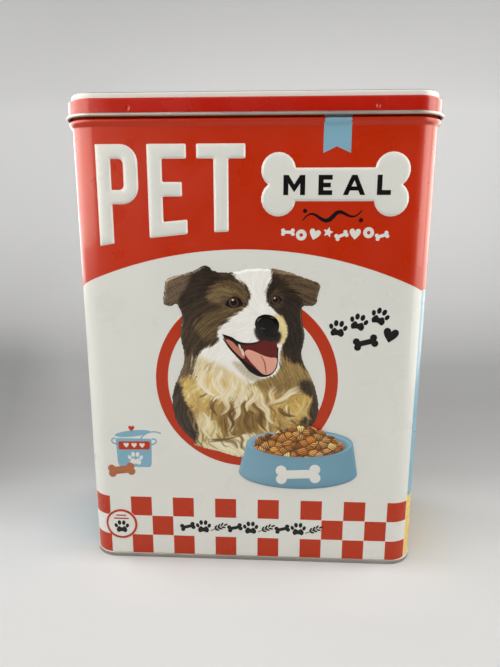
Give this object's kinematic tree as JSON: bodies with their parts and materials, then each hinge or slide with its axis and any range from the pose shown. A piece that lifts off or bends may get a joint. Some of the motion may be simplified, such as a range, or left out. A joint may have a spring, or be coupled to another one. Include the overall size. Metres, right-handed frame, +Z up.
{
  "type": "pet food storage tin",
  "caption": "Tall rectangular printed tin for dry pet food, with rounded corners, a seamed-on bottom and a stepped lid hinged at the rear",
  "frame": {"origin": "on the floor under the middle of the tin's bounding box, which is also the middle of the body", "axes": "+Z up from the floor to the lid top, X across the width, front panel facing -Y, lid hinge at the rear on +Y"},
  "size_m": [0.1958, 0.0858, 0.26],
  "materials": {
    "printed_wall": "satin",
    "printed_lid": "gloss",
    "bare_tinplate": "satin",
    "steel_wire": "satin",
    "print_cream": "satin",
    "print_red": "satin",
    "print_blue": "satin",
    "print_yellow": "satin",
    "print_black": "satin",
    "print_brown": "satin"
  },
  "bodies": {
    "bin": {"body_wall": "printed_wall", "bottom_end": "bare_tinplate", "hinge_wire_left": "steel_wire", "hinge_wire_right": "steel_wire"},
    "lid": {"lid_shell": "printed_lid"}
  },
  "joints": [
    {"name": "lid_hinge", "type": "hinge", "parent": "bin", "child": "lid", "pos_m": [0, 0.0402, 0.2456], "axis": [-1, 0, 0], "range_deg": [0, 138]}
  ]
}
